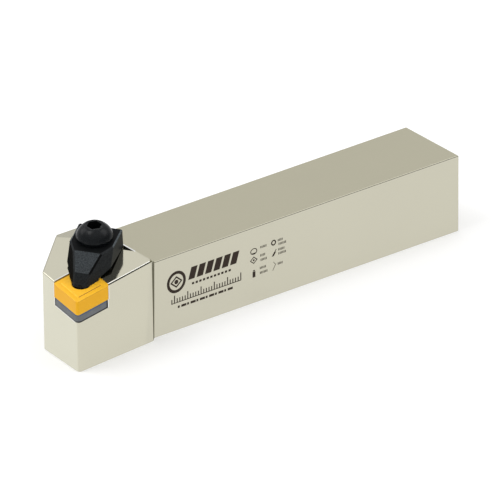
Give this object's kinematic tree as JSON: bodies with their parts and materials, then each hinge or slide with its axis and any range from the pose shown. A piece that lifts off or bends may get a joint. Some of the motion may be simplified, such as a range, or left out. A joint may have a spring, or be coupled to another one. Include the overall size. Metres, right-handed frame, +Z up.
{
  "type": "turning tool holder",
  "caption": "External turning tool: a square shank with a tilted seat for a rhombic carbide insert, held by a nosed clamp and its domed screw.",
  "frame": {"origin": "on the base of the shank, under the middle of its straight length and centred across its width", "axes": "+X along the shank to the cutting tip, +Y across it towards the side that carries the cutting tip, +Z up"},
  "size_m": [0.1499, 0.0319, 0.0399],
  "materials": {
    "holder_steel": "warm grey satin ground steel",
    "shim_carbide": "grey sintered carbide",
    "insert_coating": "gold coated carbide",
    "clamp_black": "black oxide, forged and ground",
    "screw_black": "black oxide, turned"
  },
  "bodies": {
    "holder": {"holder_body": "holder_steel", "shim": "shim_carbide", "shim_screw": "screw_black", "insert": "insert_coating"},
    "clamp": {"clamp": "clamp_black", "washer": "screw_black"},
    "clamp_screw": {"clamp_screw": "screw_black"}
  },
  "joints": [
    {"name": "clamp_lift", "type": "slide", "parent": "holder", "child": "clamp", "axis": [0.0961, 0.0961, 0.9907], "range_m": [0, 0.003]},
    {"name": "screw_turn", "type": "hinge", "parent": "clamp", "child": "clamp_screw", "pos_m": [0.07145, 0.00403, 0.02833], "axis": [0.0961, 0.0961, 0.9907], "range_deg": [0, 1080]}
  ],
  "couplings": [
    {"joint": "screw_turn", "follows": "clamp_lift", "rad_per_m": 6283.2}
  ]
}
